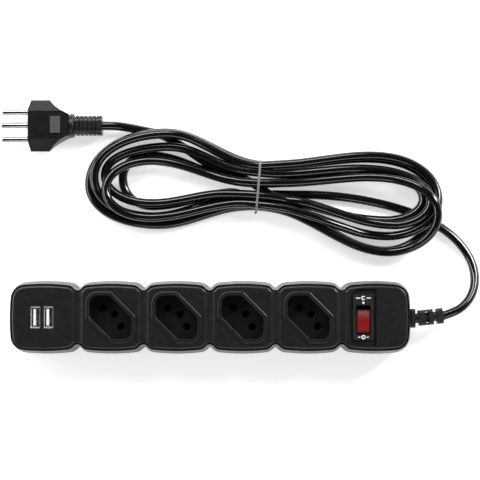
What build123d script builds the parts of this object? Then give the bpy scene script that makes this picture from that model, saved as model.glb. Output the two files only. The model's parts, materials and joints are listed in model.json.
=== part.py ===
"""Power strip: four three-pin outlets, two USB ports and a lit rocker switch, on a lead tied in a hank.

Millimetres. The strip's long axis is X, its lead leaves at +X, and it stands on Z = 0.
"""

import os
from math import atan2, cos, degrees, hypot, pi, radians, sin, tan

from build123d import *

os.makedirs("parts", exist_ok=True)

# ---------------------------------------------------------------- driving dimensions
HALF_LENGTH = 135.0  # top edge of the flared wall
HALF_WIDTH = 22.7
PARTING_Z = 17.0
WALL_TOP_Z = 34.2
PLATEAU_Z = 35.3
RIM_Z = 36.3
FLARE = 2.25  # how much wider the casing is at the parting line than at the wall's top
BASE_DRAFT = 0.4  # outline growth just above the base edge
WALL = 1.8
FLOOR = 2.2
ROOF_Z = 33.0  # underside of the roof

BAY_PITCH = 44.6
WAIST_DEPTH = 4.4
SIDE_RADIUS = 140.0  # bow of each bay's long side
END_RADIUS = 145.0  # bow of each end
CORNER_RADIUS = 6.0  # where a bay side turns into a waist
WAIST_RADIUS = 3.5
END_CORNER_RADIUS = 9.5
VALLEY_WIDTH = 6.8
VALLEY_DEPTH = 0.6
CHANNEL = (-0.35, -0.95)  # outline growth at the two sides of the crown's groove
CHANNEL_Z = 33.2
CROWN_RADIUS = 1.9

OUTLET_XS = [-1.5 * BAY_PITCH, -0.5 * BAY_PITCH, 0.5 * BAY_PITCH, 1.5 * BAY_PITCH]
WELL_HALF = (14.25, 14.8)  # hexagonal well: half width, half height
WELL_DIAGONAL = 14.0  # the cut corners lie on |x + y| = this
WELL_WALL = 1.5
WELL_FLOOR_Z = 25.5
RIM_WIDTH = 2.8
RIM_ROUND = 0.85
RIM_CHAMFER = 0.45
INSERT_THICK = 4.0
PIN_RADIUS = 2.0
PIN_LENGTH = 19.0
PIN_PITCH = 19.0
EARTH_OFFSET = 3.0
HOLE_RADIUS = 2.25

USB_XS = [-117.5, -108.6]
USB_SHELL = (5.9, 13.2)
USB_MOUTH = (6.7, 15.2)
USB_SHEET = 0.4
BOARD_Z = 17.4
BOARD_THICK = 1.6

SWITCH_X = 103.7
SWITCH_Y = -1.7
RECESS_Z = 33.2
PLATE_Z = 34.4
WINDOW = (9.8, 19.6)
ROCKER = (9.3, 15.4)
ROCKER_PIVOT_Z = 29.6
ROCKER_TRAVEL = 20.0  # degrees, off to on
SEESAW_PIVOT_Z = 21.3
SEESAW_TILT = 8.0

CORD_RADIUS = 3.1
RELIEF_END = (160.0, 1.2, 17.0)
HANK_HEIGHT = 17.0
TIE_X = 33.1

PLUG_Y = 132.8
PLUG_FACE_X = -126.2
PLUG_AXIS_Z = 8.5
BOOT_END_X = -75.4


def finish(builder, name):
    """Label a finished piece and write its file."""
    builder.part.label = name
    export_step(builder.part, f"parts/{name}.step")


# ---------------------------------------------------------------- casing outline
def bearing(centre, point):
    """Direction from one point to another, in degrees."""
    return degrees(atan2(point[1] - centre[1], point[0] - centre[0]))


def meeting(centre_a, radius_a, centre_b, radius_b, side):
    """Where two circles cross; side is +1 or -1, left or right of the line from a to b."""
    dx = centre_b[0] - centre_a[0]
    dy = centre_b[1] - centre_a[1]
    gap = hypot(dx, dy)
    along = (radius_a**2 - radius_b**2 + gap**2) / (2 * gap)
    across = side * (radius_a**2 - along**2) ** 0.5
    return (
        centre_a[0] + (along * dx - across * dy) / gap,
        centre_a[1] + (along * dy + across * dx) / gap,
    )


def bay_centres(middle, half_pitch):
    """Centres of a bay's side arc, its right corner arc and the waist arc beyond it."""
    side = (middle, HALF_WIDTH - SIDE_RADIUS)
    waist = (middle + half_pitch, HALF_WIDTH - WAIST_DEPTH + WAIST_RADIUS)
    corner = meeting(side, SIDE_RADIUS - CORNER_RADIUS, waist, CORNER_RADIUS + WAIST_RADIUS, 1)
    return side, corner, waist


def draw_outline(grow):
    """The casing's outline, offset outwards by grow, as tangent arcs."""

    def arc(centre, radius, start, end):
        CenterArc(centre, radius, start, end - start)

    waist_r = WAIST_RADIUS - grow
    corner_r = CORNER_RADIUS + grow
    end_half = HALF_LENGTH - 2 * BAY_PITCH
    with BuildLine() as line:
        for middle in (0.5 * BAY_PITCH, 1.5 * BAY_PITCH):
            side, right, waist = bay_centres(middle, 0.5 * BAY_PITCH)
            left = (2 * middle - right[0], right[1])
            left_waist = (2 * middle - waist[0], waist[1])
            arc(left_waist, waist_r, -90, bearing(left_waist, left))
            arc(left, corner_r, bearing(left, left_waist), bearing(side, left))
            arc(side, SIDE_RADIUS + grow, bearing(side, left), bearing(side, right))
            arc(right, corner_r, bearing(side, right), bearing(right, waist))
            arc(waist, waist_r, bearing(waist, right), -90)
        middle = 2 * BAY_PITCH + 0.5 * end_half
        side, right, waist = bay_centres(middle, 0.5 * end_half)
        left = (2 * middle - right[0], right[1])
        left_waist = (2 * middle - waist[0], waist[1])
        end = (HALF_LENGTH - END_RADIUS, 0)
        corner = meeting(side, SIDE_RADIUS - END_CORNER_RADIUS, end, END_RADIUS - END_CORNER_RADIUS, -1)
        arc(left_waist, waist_r, -90, bearing(left_waist, left))
        arc(left, corner_r, bearing(left, left_waist), bearing(side, left))
        arc(side, SIDE_RADIUS + grow, bearing(side, left), bearing(side, corner))
        arc(corner, END_CORNER_RADIUS + grow, bearing(side, corner), bearing(end, corner))
        arc(end, END_RADIUS + grow, bearing(end, corner), 0)
        mirror(about=Plane.XZ)
        mirror(about=Plane.YZ)
    make_face(line.edges())


def outline_prism(grow, low, high, mode=Mode.ADD):
    """The casing's outline as a straight prism between two heights."""
    with BuildSketch(Plane.XY.offset(low)) as outline:
        draw_outline(grow)
    extrude(outline.sketch, amount=high - low, mode=mode)


def outline_ring(outer, inner, low, high, mode=Mode.ADD):
    """A band between two offsets of the casing's outline."""
    with BuildSketch(Plane.XY.offset(low)) as band:
        draw_outline(outer)
        with BuildSketch(Plane.XY, mode=Mode.PRIVATE) as hole:
            draw_outline(inner)
        add(hole.sketch, mode=Mode.SUBTRACT)
    extrude(band.sketch, amount=high - low, mode=mode)


def draw_hexagon(extra, tip_radius=5.5, side_radius=3.0):
    """The outlet's long hexagon: a rectangle with its top-right and bottom-left corners cut off."""
    half_x = WELL_HALF[0] + extra
    half_y = WELL_HALF[1] + extra
    cut = WELL_DIAGONAL + extra * 2**0.5
    with BuildLine() as line:
        FilletPolyline(
            (-half_x, half_y),
            (cut - half_y, half_y),
            (half_x, cut - half_x),
            (half_x, -half_y),
            (half_y - cut, -half_y),
            (-half_x, half_x - cut),
            radius=[tip_radius + extra, side_radius, side_radius] * 2,
            close=True,
        )
    make_face(line.edges())


def outlet_places(z):
    """One workplane at each outlet's centre."""
    return [Plane((x, 0, z)) for x in OUTLET_XS]


# ---------------------------------------------------------------- top cover
BOSS_SPOTS = [(x, y) for x in (-2 * BAY_PITCH, 0, 2 * BAY_PITCH) for y in (-14.2, 14.2)]
PILOT_RADIUS = 1.25
WAIST_XS = [i * BAY_PITCH for i in range(-2, 3)]
RECESS_RIGHT = 112.5
RECESS_LEFT = 95.3
RECESS_HALF = 19.3
HOUSING = (12.6, 21.6)
RELIEF_NECK = 9.6

with BuildPart() as top_cover:
    with BuildSketch(Plane.XY.offset(PARTING_Z)):
        draw_outline(FLARE)
    with BuildSketch(Plane.XY.offset(WALL_TOP_Z)):
        draw_outline(0)
    loft(ruled=True)
    outline_prism(CHANNEL[0], CHANNEL_Z, WALL_TOP_Z, mode=Mode.SUBTRACT)
    outline_prism(CHANNEL[1], CHANNEL_Z, PLATEAU_Z)
    fillet(top_cover.faces().sort_by(Axis.Z)[-1].edges(), CROWN_RADIUS)
    # shallow valley across the roof at each waist
    valley_radius = ((VALLEY_WIDTH / 2) ** 2 + VALLEY_DEPTH**2) / (2 * VALLEY_DEPTH)
    with BuildSketch(Plane.XZ.offset(-HALF_WIDTH - 5)):
        with Locations(*[(x, PLATEAU_Z + valley_radius - VALLEY_DEPTH) for x in WAIST_XS]):
            Circle(valley_radius)
    extrude(amount=2 * HALF_WIDTH + 10, mode=Mode.SUBTRACT)
    outline_prism(-WALL, PARTING_Z, ROOF_Z, mode=Mode.SUBTRACT)
    # wells: a wall round each, a raised rim, and the opening through both
    with BuildSketch(*outlet_places(WELL_FLOOR_Z)):
        draw_hexagon(WELL_WALL)
    extrude(amount=ROOF_Z - WELL_FLOOR_Z)
    with BuildSketch(*outlet_places(PLATEAU_Z - 1)):
        draw_hexagon(RIM_WIDTH)
    extrude(amount=RIM_Z - PLATEAU_Z + 1)
    fillet(top_cover.faces().filter_by(Axis.Z).group_by(Axis.Z)[-1].edges(), RIM_ROUND)
    with BuildSketch(*outlet_places(WELL_FLOOR_Z)):
        draw_hexagon(0)
    extrude(amount=RIM_Z - WELL_FLOOR_Z, mode=Mode.SUBTRACT)
    rims = top_cover.faces().filter_by(Axis.Z).group_by(Axis.Z)[-1]
    chamfer([edge for rim in rims for wire in rim.inner_wires() for edge in wire.edges()], RIM_CHAMFER)
    # switch bay: a shallow recess over a thick pad, with the switch's opening
    with BuildSketch(Plane.XY.offset(ROOF_Z - 2.6)):
        with Locations(((RECESS_LEFT + RECESS_RIGHT) / 2, 0)):
            Rectangle(RECESS_RIGHT - RECESS_LEFT + 3, 2 * RECESS_HALF + 0.6)
    extrude(amount=2.6)
    with BuildSketch(Plane.XY.offset(RECESS_Z)):
        with BuildLine():
            Line((RECESS_RIGHT, RECESS_HALF), (RECESS_RIGHT, -RECESS_HALF))
            Line((RECESS_RIGHT, -RECESS_HALF), (RECESS_LEFT + 6, -RECESS_HALF))
            ThreePointArc(
                (RECESS_LEFT + 6, -RECESS_HALF), (RECESS_LEFT + 1.7, -RECESS_HALF + 1.7), (RECESS_LEFT, -13.5)
            )
            ThreePointArc((RECESS_LEFT, -13.5), (RECESS_LEFT - 0.7, 0), (RECESS_LEFT, 13.5))
            ThreePointArc(
                (RECESS_LEFT, 13.5), (RECESS_LEFT + 1.7, RECESS_HALF - 1.7), (RECESS_LEFT + 6, RECESS_HALF)
            )
            Line((RECESS_LEFT + 6, RECESS_HALF), (RECESS_RIGHT, RECESS_HALF))
        make_face()
    extrude(amount=RIM_Z - RECESS_Z, mode=Mode.SUBTRACT)
    with BuildSketch(Plane.XY.offset(ROOF_Z - 3)):
        with Locations((SWITCH_X, SWITCH_Y)):
            Rectangle(HOUSING[0] + 0.2, HOUSING[1] + 0.2)
    extrude(amount=RIM_Z - ROOF_Z + 3, mode=Mode.SUBTRACT)
    with BuildSketch(Plane.XY.offset(ROOF_Z - 1)):
        with Locations(*[(x, 0) for x in USB_XS]):
            RectangleRounded(USB_MOUTH[0] + 0.3, USB_MOUTH[1] + 0.3, 0.5)
    extrude(amount=RIM_Z - ROOF_Z + 1, mode=Mode.SUBTRACT)
    # screw bosses, joined to the side walls at the waists
    with BuildSketch(Plane.XY.offset(6.2)):
        with Locations(*BOSS_SPOTS):
            Circle(3.5)
    extrude(amount=ROOF_Z - 6.2)
    with BuildSketch(Plane.XY.offset(6.2)):
        with Locations(*BOSS_SPOTS):
            Circle(PILOT_RADIUS)
    extrude(amount=14, mode=Mode.SUBTRACT)
    outline_ring(FLARE + 1, -WALL - 0.1, 6, PARTING_Z, mode=Mode.SUBTRACT)
    # half of the cable entry, and the shadow line where the two covers meet
    with BuildSketch(Plane.YZ.offset(HALF_LENGTH - 3)):
        with Locations((0, PARTING_Z)):
            Rectangle(RELIEF_NECK + 0.1, RELIEF_NECK + 0.1)
    extrude(amount=8, mode=Mode.SUBTRACT)
    outline_ring(FLARE + 0.5, FLARE - 0.4, PARTING_Z - 0.2, PARTING_Z + 0.2, mode=Mode.SUBTRACT)
finish(top_cover, "top_cover")

# ---------------------------------------------------------------- bottom cover
LIP_GAP = 0.1
LIP_WIDTH = 1.3
KEYHOLE_XS = [-BAY_PITCH, BAY_PITCH]
KEYHOLE_HEAD = 4.2  # radius that lets a screw head in
KEYHOLE_SLOT = 4.4
KEYHOLE_RUN = 10.0
KEYHOLE_POCKET = (12.4, 19.4, 4.4)  # outside of the closed pocket over each keyhole
SCREW_CLEAR = 1.7
COUNTERBORE = (3.3, 3.0)  # radius and depth
BOARD_POSTS = [(-127, -13), (-127, 13), (-99, -13), (-99, 13)]

with BuildPart() as bottom_cover:
    with BuildSketch(Plane.XY):
        draw_outline(BASE_DRAFT - 1.0)
    with BuildSketch(Plane.XY.offset(1.0)):
        draw_outline(BASE_DRAFT)
    loft(ruled=True)
    with BuildSketch(Plane.XY.offset(1.0)):
        draw_outline(BASE_DRAFT)
    with BuildSketch(Plane.XY.offset(PARTING_Z)):
        draw_outline(FLARE)
    loft(ruled=True)
    outline_prism(-WALL, FLOOR, PARTING_Z, mode=Mode.SUBTRACT)
    # lip that locates the top cover
    outline_ring(-WALL + 0.2, -WALL - LIP_GAP - LIP_WIDTH, PARTING_Z - 3, PARTING_Z)
    outline_ring(-WALL - LIP_GAP, -WALL - LIP_GAP - LIP_WIDTH, PARTING_Z, PARTING_Z + 1.5)
    with BuildSketch(Plane.XY.offset(PARTING_Z - 4)):
        with Locations(*BOSS_SPOTS):
            Circle(3.7)
    extrude(amount=6, mode=Mode.SUBTRACT)
    with BuildSketch(Plane.XY.offset(1)):
        with Locations(*BOSS_SPOTS):
            Circle(4.4)
    extrude(amount=5.1)
    with Locations(*[(x, y, 0) for x, y in BOSS_SPOTS]):
        Cylinder(SCREW_CLEAR, 30, mode=Mode.SUBTRACT)
        Cylinder(COUNTERBORE[0], 2 * COUNTERBORE[1], mode=Mode.SUBTRACT)
    # posts under the charger board
    with BuildSketch(Plane.XY.offset(1)):
        with Locations(*BOARD_POSTS):
            Circle(2.6)
    extrude(amount=BOARD_Z - 1)
    # keyholes for hanging on two screw heads, each under a closed pocket
    with BuildSketch(Plane.XY.offset(FLOOR / 2)):
        with Locations(*[(x, 0.4 * KEYHOLE_RUN) for x in KEYHOLE_XS]):
            Rectangle(KEYHOLE_POCKET[0], KEYHOLE_POCKET[1])
    extrude(amount=FLOOR / 2 + KEYHOLE_POCKET[2])
    with BuildSketch(Plane.XY.offset(FLOOR)):
        with Locations(*[(x, 0.4 * KEYHOLE_RUN) for x in KEYHOLE_XS]):
            Rectangle(KEYHOLE_POCKET[0] - 2.4, KEYHOLE_POCKET[1] - 2.4)
    extrude(amount=KEYHOLE_POCKET[2] - 1.2, mode=Mode.SUBTRACT)
    with BuildSketch(Plane.XY.offset(-1)):
        with Locations(*[(x, 0) for x in KEYHOLE_XS]):
            Circle(KEYHOLE_HEAD)
        with Locations(*[(x, KEYHOLE_RUN / 2) for x in KEYHOLE_XS]):
            SlotCenterToCenter(KEYHOLE_RUN, KEYHOLE_SLOT, rotation=90)
    extrude(amount=FLOOR + 1, mode=Mode.SUBTRACT)
    with BuildSketch(Plane.YZ.offset(HALF_LENGTH - 6)):
        with Locations((0, PARTING_Z)):
            Rectangle(RELIEF_NECK + 0.1, RELIEF_NECK + 0.1)
    extrude(amount=12, mode=Mode.SUBTRACT)
    with BuildSketch(Plane.YZ.offset(HALF_LENGTH - 6)):
        with Locations((0, PARTING_Z)):
            Rectangle(13, 13)
    extrude(amount=6 - WALL, mode=Mode.SUBTRACT)
    outline_ring(FLARE + 0.5, FLARE - 0.4, PARTING_Z - 0.2, PARTING_Z + 0.2, mode=Mode.SUBTRACT)
finish(bottom_cover, "bottom_cover")

# ---------------------------------------------------------------- casing screws
with BuildPart() as casing_screws:
    head_low = 0.9
    head_high = COUNTERBORE[1]
    with Locations(*[(x, y, head_low) for x, y in BOSS_SPOTS]):
        Cylinder(2.9, head_high - head_low, align=(Align.CENTER, Align.CENTER, Align.MIN))
    with Locations(*[(x, y, head_high) for x, y in BOSS_SPOTS]):
        Cylinder(1.45, 15, align=(Align.CENTER, Align.CENTER, Align.MIN))
    with Locations(*[(x, y, head_low) for x, y in BOSS_SPOTS]):
        Box(4, 0.8, 2.2, mode=Mode.SUBTRACT)
        Box(0.8, 4, 2.2, mode=Mode.SUBTRACT)
finish(casing_screws, "casing_screws")

# ---------------------------------------------------------------- outlet floor plates
DIAGONAL = PIN_PITCH / 2 / 2**0.5
LINE_SPOT = (-DIAGONAL, DIAGONAL)
NEUTRAL_SPOT = (DIAGONAL, -DIAGONAL)
EARTH_SPOT = (EARTH_OFFSET / 2**0.5, EARTH_OFFSET / 2**0.5)
PIN_SPOTS = [LINE_SPOT, NEUTRAL_SPOT, EARTH_SPOT]

for number, outlet_x in enumerate(OUTLET_XS, start=1):
    with BuildPart() as outlet_insert:
        with BuildSketch(Plane((outlet_x, 0, WELL_FLOOR_Z))):
            draw_hexagon(WELL_WALL)
        extrude(amount=-INSERT_THICK)
        with Locations(Plane((outlet_x, 0, WELL_FLOOR_Z))):
            with Locations(*PIN_SPOTS):
                CounterSinkHole(HOLE_RADIUS, HOLE_RADIUS + 0.7, counter_sink_angle=90)
    finish(outlet_insert, f"outlet_insert_{number}")

# ---------------------------------------------------------------- busbars and spring contacts
BAR_THICK = 0.8
BAR_Z = (11.0, 18.0)
CONTACT_Z = (8.5, 18.5)
CONTACT_BORE = 2.3
CONTACT_OUTER = 2.75
BAR_LEFT = OUTLET_XS[0] - 10
BAR_RIGHT = 2 * BAY_PITCH - 6


def busbar_block(bar_y, left, right):
    """A strip on edge, standing just beyond the pins."""
    with Locations(((left + right) / 2, bar_y, (BAR_Z[0] + BAR_Z[1]) / 2)):
        Box(right - left, BAR_THICK, BAR_Z[1] - BAR_Z[0])


def spring_contacts(spot, outward):
    """A split sleeve round each pin, with a pad against its busbar."""
    with BuildSketch(Plane.XY.offset(CONTACT_Z[0])) as sleeves:
        with Locations(*[(x + spot[0], spot[1]) for x in OUTLET_XS]):
            Circle(CONTACT_OUTER)
            Rectangle(4, 2 * CONTACT_OUTER + 0.2)
            Circle(CONTACT_BORE, mode=Mode.SUBTRACT)
        with Locations(*[(x + spot[0], spot[1] - outward * CONTACT_OUTER) for x in OUTLET_XS]):
            Rectangle(4.4, 2.9, mode=Mode.SUBTRACT)
    extrude(sleeves.sketch, amount=CONTACT_Z[1] - CONTACT_Z[0])


for bar_name, spot, outward in (
    ("line", LINE_SPOT, 1),
    ("neutral", NEUTRAL_SPOT, -1),
    ("earth", EARTH_SPOT, -1),
):
    bar_y = spot[1] + outward * (CONTACT_OUTER + 0.1 + BAR_THICK / 2)
    with BuildPart() as busbar:
        busbar_block(bar_y, BAR_LEFT, BAR_RIGHT)
    finish(busbar, f"{bar_name}_busbar")
    with BuildPart() as contacts:
        spring_contacts(spot, outward)
    finish(contacts, f"{bar_name}_contacts")

# ---------------------------------------------------------------- USB ports and charger
SHELL_LOW = BOARD_Z + BOARD_THICK
MOUTH_Z = PLATEAU_Z + 0.25
TONGUE = (1.7, 11.0)
TONGUE_SHIFT = -0.75

for number, port_x in enumerate(USB_XS, start=1):
    with BuildPart() as usb_port:
        with BuildSketch(Plane.XY.offset(SHELL_LOW)):
            with Locations((port_x, 0)):
                RectangleRounded(*USB_SHELL, 0.5)
                Rectangle(USB_SHELL[0] - 2 * USB_SHEET, USB_SHELL[1] - 2 * USB_SHEET, mode=Mode.SUBTRACT)
        extrude(amount=MOUTH_Z - 1.0 - SHELL_LOW)
        with BuildSketch(Plane.XY.offset(MOUTH_Z - 1.0)):
            with Locations((port_x, 0)):
                RectangleRounded(*USB_SHELL, 0.5)
        with BuildSketch(Plane.XY.offset(MOUTH_Z)):
            with Locations((port_x, 0)):
                RectangleRounded(*USB_MOUTH, 0.5)
        loft(ruled=True)
        with BuildSketch(Plane.XY.offset(MOUTH_Z - 1.0)):
            with Locations((port_x, 0)):
                Rectangle(USB_SHELL[0] - 2 * USB_SHEET, USB_SHELL[1] - 2 * USB_SHEET)
        with BuildSketch(Plane.XY.offset(MOUTH_Z)):
            with Locations((port_x, 0)):
                Rectangle(USB_MOUTH[0] - 2 * USB_SHEET, USB_MOUTH[1] - 2 * USB_SHEET)
        loft(ruled=True, mode=Mode.SUBTRACT)
    finish(usb_port, f"usb_port_{number}")

    with BuildPart() as usb_tongue:
        with BuildSketch(Plane.XY.offset(SHELL_LOW)):
            with Locations((port_x, 0)):
                Rectangle(USB_SHELL[0] - 2 * USB_SHEET, USB_SHELL[1] - 2 * USB_SHEET)
        extrude(amount=3)
        with BuildSketch(Plane.XY.offset(SHELL_LOW)):
            with Locations((port_x + TONGUE_SHIFT, 0)):
                Rectangle(*TONGUE)
        extrude(amount=MOUTH_Z - 1.2 - SHELL_LOW)
        fillet(usb_tongue.faces().sort_by(Axis.Z)[-1].edges(), 0.3)
    finish(usb_tongue, f"usb_tongue_{number}")

    with BuildPart() as usb_contacts:
        contact_face = port_x + TONGUE_SHIFT + TONGUE[0] / 2
        with Locations((contact_face + 0.15, 0, SHELL_LOW + 3)):
            with GridLocations(0, 2.4, 1, 4):
                Box(0.3, 1.1, 9, align=(Align.CENTER, Align.CENTER, Align.MIN))
    finish(usb_contacts, f"usb_contacts_{number}")

with BuildPart() as usb_board:
    with Locations((-113, 0, BOARD_Z)):
        Box(34, 33, BOARD_THICK, align=(Align.CENTER, Align.CENTER, Align.MIN))
    fillet(usb_board.edges().filter_by(Axis.Z), 1.5)
finish(usb_board, "usb_board")

with BuildPart() as usb_transformer:
    with Locations((-112, 5, BOARD_Z)):
        Box(14, 13, 4, align=(Align.CENTER, Align.CENTER, Align.MAX))
    with Locations((-112, 5, BOARD_Z - 4)):
        Box(10, 9, 5, align=(Align.CENTER, Align.CENTER, Align.MAX))
    with Locations((-112, 5, BOARD_Z - 9)):
        Box(14, 13, 2.5, align=(Align.CENTER, Align.CENTER, Align.MAX))
finish(usb_transformer, "usb_transformer")

with BuildPart() as usb_capacitors:
    with Locations((-118, -8, BOARD_Z), (-107, -8, BOARD_Z)):
        Cylinder(4, 11, align=(Align.CENTER, Align.CENTER, Align.MAX))
    fillet(usb_capacitors.faces().sort_by(Axis.Z)[0].edges(), 0.8)
finish(usb_capacitors, "usb_capacitors")

# ---------------------------------------------------------------- switch
with BuildPart() as switch_plate:
    with BuildSketch(Plane.XY.offset(RECESS_Z)):
        with Locations((SWITCH_X, 0)):
            RectangleRounded(14.2, 31, 0.6)
        with Locations((SWITCH_X, SWITCH_Y)):
            RectangleRounded(*WINDOW, 0.5, mode=Mode.SUBTRACT)
    extrude(amount=PLATE_Z - RECESS_Z)
    chamfer(switch_plate.faces().sort_by(Axis.Z)[-1].outer_wire().edges(), 0.25)
finish(switch_plate, "switch_plate")

HOUSING_LOW = 14.0
CAVITY = (9.9, 19.8)
PIVOT_RADIUS = 1.2

with BuildPart() as switch_housing:
    with BuildSketch(Plane.XY.offset(HOUSING_LOW)):
        with Locations((SWITCH_X, SWITCH_Y)):
            Rectangle(*HOUSING)
    extrude(amount=RECESS_Z - HOUSING_LOW)
    with BuildSketch(Plane.XY.offset(HOUSING_LOW + 1.5)):
        with Locations((SWITCH_X, SWITCH_Y)):
            Rectangle(*CAVITY)
    extrude(amount=RECESS_Z - HOUSING_LOW, mode=Mode.SUBTRACT)
    with BuildSketch(Plane.YZ.offset(SWITCH_X)):
        with Locations((SWITCH_Y, ROCKER_PIVOT_Z)):
            Circle(PIVOT_RADIUS + 0.06)
    extrude(amount=HOUSING[0] / 2 - 0.4, both=True, mode=Mode.SUBTRACT)
    # slots for the terminals
    with BuildSketch(Plane.XY.offset(HOUSING_LOW - 1)):
        with Locations(*[(SWITCH_X, SWITCH_Y + y) for y in (-6.5, 0, 6.5)]):
            Rectangle(4.9, 0.9)
    extrude(amount=4, mode=Mode.SUBTRACT)
finish(switch_housing, "switch_housing")

half_travel = radians(ROCKER_TRAVEL / 2)
rocker_plane = Plane(
    origin=(SWITCH_X, SWITCH_Y, ROCKER_PIVOT_Z),
    x_dir=(0, cos(half_travel), sin(half_travel)),
    z_dir=(1, 0, 0),
)
rocker_half = ROCKER[1] / 2
DISH = 5.2  # lowest of the rocker's hollow top, above its pivot
ROCKER_BEVEL = 1.0
end_rise = DISH + rocker_half * tan(half_travel)

with BuildPart() as switch_rocker:
    with BuildSketch(rocker_plane):
        with BuildLine():
            Polyline(
                (rocker_half, end_rise),
                (rocker_half - 0.3, 1.6),
                (5.6, -1.2),
                (2.0, -1.2),
                (2.0, -5.6),
                (-2.0, -5.6),
                (-2.0, -1.2),
                (-5.6, -1.2),
                (0.3 - rocker_half, 1.6),
                (-rocker_half, end_rise),
            )
            ThreePointArc((-rocker_half, end_rise), (0, DISH), (rocker_half, end_rise))
        make_face()
    extrude(amount=ROCKER[0] / 2, both=True)
    chamfer(switch_rocker.edges().filter_by(GeomType.CIRCLE), ROCKER_BEVEL)
    # pivot stubs
    with BuildSketch(rocker_plane):
        Circle(PIVOT_RADIUS)
    extrude(amount=HOUSING[0] / 2 - 0.5, both=True)
    # lamp pocket and plunger bore, open below
    with BuildSketch(rocker_plane):
        with Locations((4.7, 1.4)):
            Rectangle(4.0, 5.2)
    extrude(amount=3.4, both=True, mode=Mode.SUBTRACT)
    plunger_plane = Plane(
        origin=rocker_plane.from_local_coords((0, -5.6, 0)),
        z_dir=rocker_plane.y_dir,
    )
    with BuildSketch(plunger_plane):
        Circle(1.25)
    extrude(amount=4.6, mode=Mode.SUBTRACT)
finish(switch_rocker, "switch_rocker")

PLUNGER_TIP = 7.6  # distance of the plunger's tip below the rocker's pivot

with BuildPart() as switch_plunger:
    with BuildSketch(Plane(rocker_plane.from_local_coords((0, -PLUNGER_TIP, 0)), z_dir=rocker_plane.y_dir)):
        Circle(1.1)
    extrude(amount=3.2)
    fillet(switch_plunger.edges().filter_by(GeomType.CIRCLE).sort_by(Axis.Z)[0], 0.8)
finish(switch_plunger, "switch_plunger")

with BuildPart() as plunger_spring:
    spring_plane = Plane(rocker_plane.from_local_coords((0, -4.2, 0)), z_dir=rocker_plane.y_dir)
    with BuildLine():
        coil = Helix(0.72, 2.7, 0.85, center=spring_plane.origin, direction=spring_plane.z_dir)
    with BuildSketch(Plane(coil @ 0, z_dir=coil % 0)):
        Circle(0.16)
    sweep(path=coil, is_frenet=True)
finish(plunger_spring, "plunger_spring")

with BuildPart() as indicator_lamp:
    with BuildSketch(rocker_plane):
        with Locations((4.7, 2.2)):
            Circle(1.25)
    extrude(amount=2.9, both=True)
    fillet(indicator_lamp.edges().filter_by(GeomType.CIRCLE), 0.9)
finish(indicator_lamp, "indicator_lamp")

with BuildPart() as switch_seesaw:
    tilt = radians(SEESAW_TILT)
    seesaw_plane = Plane(
        origin=(SWITCH_X, SWITCH_Y, SEESAW_PIVOT_Z),
        x_dir=(0, cos(tilt), -sin(tilt)),
        z_dir=(1, 0, 0),
    )
    with BuildSketch(seesaw_plane):
        with BuildLine():
            Polyline(
                (-7.4, -0.35), (-7.4, 0.45), (7.4, 0.45), (7.4, -0.35), (1, -0.35), (0, -0.9), (-1, -0.35),
                close=True,
            )
        make_face()
    extrude(amount=2.2, both=True)
finish(switch_seesaw, "switch_seesaw")

with BuildPart() as switch_terminals:
    post_tops = (19.4, 20.2, 19.4)
    for post_y, post_top in zip((-6.5, 0, 6.5), post_tops):
        with Locations((SWITCH_X, SWITCH_Y + post_y, 7)):
            Box(4.8, 0.8, post_top - 7, align=(Align.CENTER, Align.CENTER, Align.MIN))
finish(switch_terminals, "switch_terminals")

# ---------------------------------------------------------------- varistor and inner wiring
with BuildPart() as surge_varistor:
    with BuildSketch(Plane.YZ.offset(120)):
        with Locations((-9, 22)):
            Circle(6.5)
    extrude(amount=4)
    fillet(surge_varistor.edges().filter_by(GeomType.CIRCLE), 1.6)
finish(surge_varistor, "surge_varistor")


def tube_radii(points):
    """The largest arc at each corner of a route: 0.45 of the shorter run over the tangent of half the turn."""
    radii = []
    for before, here, after in zip(points, points[1:], points[2:]):
        run_in = Vector(*here) - Vector(*before)
        run_out = Vector(*after) - Vector(*here)
        turn = radians(run_in.get_angle(run_out))
        radii.append(0.45 * min(run_in.length, run_out.length) / tan(turn / 2))
    return radii


def sweep_tube(points, radius, radii):
    """A round tube along straight runs joined by tangent arcs."""
    with BuildLine() as path:
        FilletPolyline(*points, radius=radii)
    with BuildSketch(Plane(path.line @ 0, z_dir=path.line % 0)) as section:
        Circle(radius)
    sweep(section.sketch, path=path.line)
    return path.wire().length


WIRE_RADIUS = 1.1
WIRES = {
    "live_inlet_wire": [(129.9, 2.8, 15), (124, 3.4, 12), (117, 1.5, 8.5), (110, -3, 7.6), (104.5, -7.0, 5.6)],
    "live_feed_wire": [(103.7, 4.8, 5.8), (99, 8.5, 4.2), (92, 9.0, 5), (85.5, 7.6, 9.5), (84, 7.7, 14)],
    "neutral_wire": [(129.9, -2.8, 15), (126, -6, 8), (112, -13, 4.3), (97, -9.5, 4.3), (84, -7.4, 9.5), (82, -7.7, 14)],
    "earth_wire": [(129.9, 0, 13), (125, -1, 4.5), (114, -5.5, 3.8), (94, -3.2, 4.0), (84.8, 0.5, 8.5), (84, 0.8, 13)],
    "usb_leads": [(-77.5, 7.7, 14), (-82, 7.2, 10), (-90, 6.2, 7), (-96.5, 3, 8), (-98.5, 0, 13), (-98.4, -2, 16.4)],
}
for wire_name, route in WIRES.items():
    with BuildPart() as wire:
        sweep_tube(route, WIRE_RADIUS, [2.5] * (len(route) - 2))
    finish(wire, wire_name)

# ---------------------------------------------------------------- strain relief
RELIEF_COLLAR = (12.9, 139.9)  # width and outer end
RELIEF_CORE_RADIUS = 3.4
RELIEF_BLOCK = 10.6
RELIEF_BLOCKS = [(142.4, 9.9), (154.7, 4.2)]  # start and length
RELIEF_SLOT = (147.0, 2.4, 7.4)  # start, length and width of the slot through the first block
relief_start = Vector(RELIEF_COLLAR[1], -0.9, PARTING_Z)
relief_run = Vector(*RELIEF_END) - relief_start


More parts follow.
